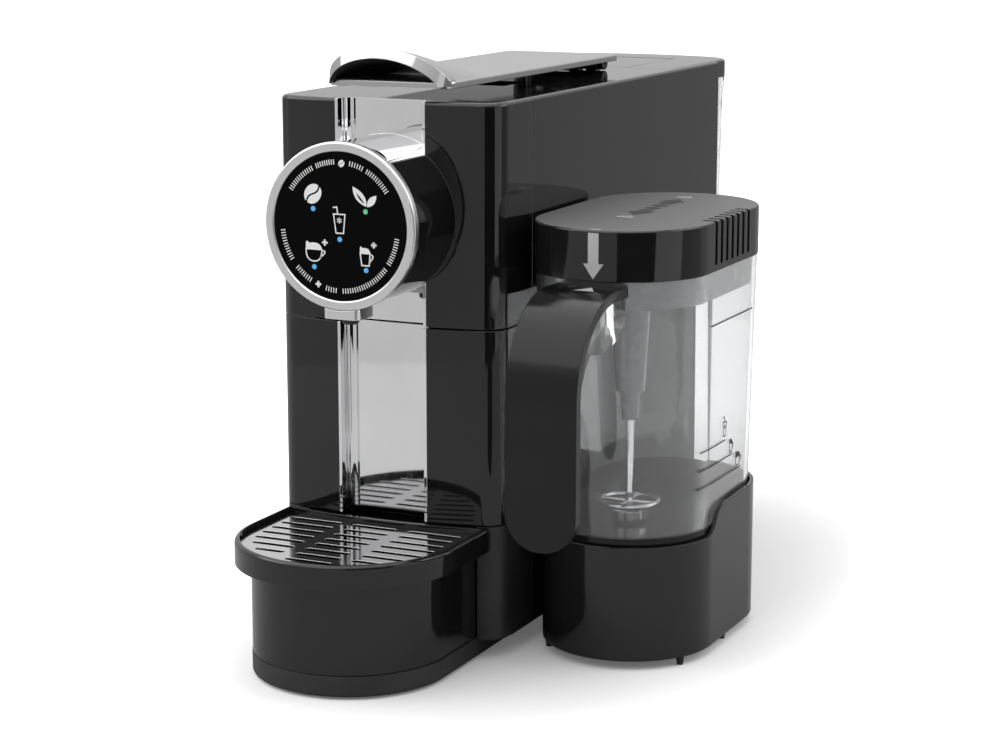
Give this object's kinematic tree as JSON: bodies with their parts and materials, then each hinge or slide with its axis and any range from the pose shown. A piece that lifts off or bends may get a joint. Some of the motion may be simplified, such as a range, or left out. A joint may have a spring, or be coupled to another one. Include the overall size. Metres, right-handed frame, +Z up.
{
  "type": "capsule coffee machine with milk jug",
  "caption": "Slim capsule coffee machine with a front spout over a drip tray, a lift-up lever, a rear water tank and a milk frothing jug docked at its right side.",
  "frame": {"origin": "centre of the whole object's bounding box on the table plane, under the feet", "axes": "+Z up, -Y to the front with the spout, +X to the docked milk jug"},
  "size_m": [0.209, 0.434, 0.2948],
  "materials": {
    "black_gloss": "polished",
    "black_matte": "fine grain",
    "chrome": "polished",
    "satin_silver": "satin",
    "black_panel": "polished",
    "light_lens": "polished",
    "circuit_board": "satin",
    "polished_steel": "polished",
    "dark_rubber": "matte",
    "hose_rubber": "satin",
    "cast_heater": "cast",
    "drive_metal": "satin",
    "clear_plastic": "clear",
    "smoke_plastic": "clear"
  },
  "bodies": {
    "machine": {"side_panel_left": "black_gloss", "side_panel_right": "black_gloss", "front_housing": "black_gloss", "top_cover": "black_gloss", "dock_shell": "black_gloss", "base_plate": "black_matte", "base_tub": "black_matte", "rear_panel": "black_matte", "chassis": "black_matte", "dock_base": "black_matte", "capsule_chute": "black_matte", "coffee_outlet": "black_matte", "brew_frame": "black_matte", "injection_head": "black_matte", "flow_meter": "black_matte", "tank_socket": "black_matte", "spout_nozzle": "black_matte", "channel_upper": "chrome", "bezel_ring": "satin_silver", "spout_block": "satin_silver", "touch_panel": "black_panel", "indicator_lenses": "light_lens", "control_board": "circuit_board", "main_board": "circuit_board", "heater_plate": "polished_steel", "head_screws": "polished_steel", "rubber_feet": "dark_rubber", "dock_feet": "dark_rubber", "brew_gasket": "dark_rubber", "pump_mounts": "dark_rubber", "cord_gland": "dark_rubber", "suction_hose": "hose_rubber", "pressure_hose": "hose_rubber", "hot_water_hose": "hose_rubber", "heater_block": "cast_heater", "pump": "drive_metal", "frother_motor": "drive_metal"},
    "lever": {"lever_plate": "satin_silver", "lever_handle": "chrome", "lever_crank": "black_matte", "lever_pin": "polished_steel"},
    "carriage": {"brew_carriage": "black_matte"},
    "drip_drawer": {"drip_tray": "black_gloss", "bin_front": "black_gloss", "channel_lower": "chrome", "capsule_bin": "black_matte"},
    "drip_grille": {"drip_grille": "polished_steel"},
    "tank": {"tank_shell": "clear_plastic", "tank_valve": "dark_rubber", "tank_lid": "black_gloss"},
    "tank_flap": {"tank_flap": "black_gloss"},
    "jug": {"jug_shell": "clear_plastic", "jug_base": "black_gloss", "handle_shell": "black_gloss", "handle_core": "clear_plastic"},
    "jug_lid": {"jug_lid": "black_gloss", "lid_plug": "smoke_plastic", "lid_stem": "smoke_plastic"},
    "whisk": {"whisk": "polished_steel"},
    "rotor": {"drive_rotor": "drive_metal"}
  },
  "joints": [
    {"name": "lever_hinge", "type": "hinge", "parent": "machine", "child": "lever", "pos_m": [-0.0445, 0.087, 0.2745], "axis": [-1, 0, 0], "range_deg": [0, 75]},
    {"name": "carriage_slide", "type": "slide", "parent": "machine", "child": "carriage", "axis": [0, -1, 0], "range_m": [0, 0.03044]},
    {"name": "drawer_slide", "type": "slide", "parent": "machine", "child": "drip_drawer", "axis": [0, -1, 0], "range_m": [0, 0.165]},
    {"name": "grille_lift", "type": "slide", "parent": "drip_drawer", "child": "drip_grille", "axis": [0, 0, 1], "range_m": [0, 0.04]},
    {"name": "tank_lift", "type": "slide", "parent": "machine", "child": "tank", "axis": [0, 0, 1], "range_m": [0, 0.25]},
    {"name": "flap_hinge", "type": "hinge", "parent": "tank", "child": "tank_flap", "pos_m": [-0.0445, 0.1835, 0.268], "axis": [-1, 0, 0], "range_deg": [0, 85]},
    {"name": "jug_lift", "type": "slide", "parent": "machine", "child": "jug", "axis": [0, 0, 1], "range_m": [0, 0.1]},
    {"name": "jug_lid_lift", "type": "slide", "parent": "jug", "child": "jug_lid", "axis": [0, 0, 1], "range_m": [0, 0.13]},
    {"name": "whisk_spin", "type": "hinge", "parent": "jug_lid", "child": "whisk", "pos_m": [0.0615, -0.071, 0.12], "axis": [0, 0, 1], "continuous": true},
    {"name": "rotor_spin", "type": "hinge", "parent": "machine", "child": "rotor", "pos_m": [0.0615, -0.071, 0.048], "axis": [0, 0, 1], "continuous": true}
  ],
  "couplings": [
    {"joint": "carriage_slide", "follows": "lever_hinge", "m_per_rad": 0.023253},
    {"joint": "whisk_spin", "follows": "rotor_spin", "ratio": 1}
  ]
}
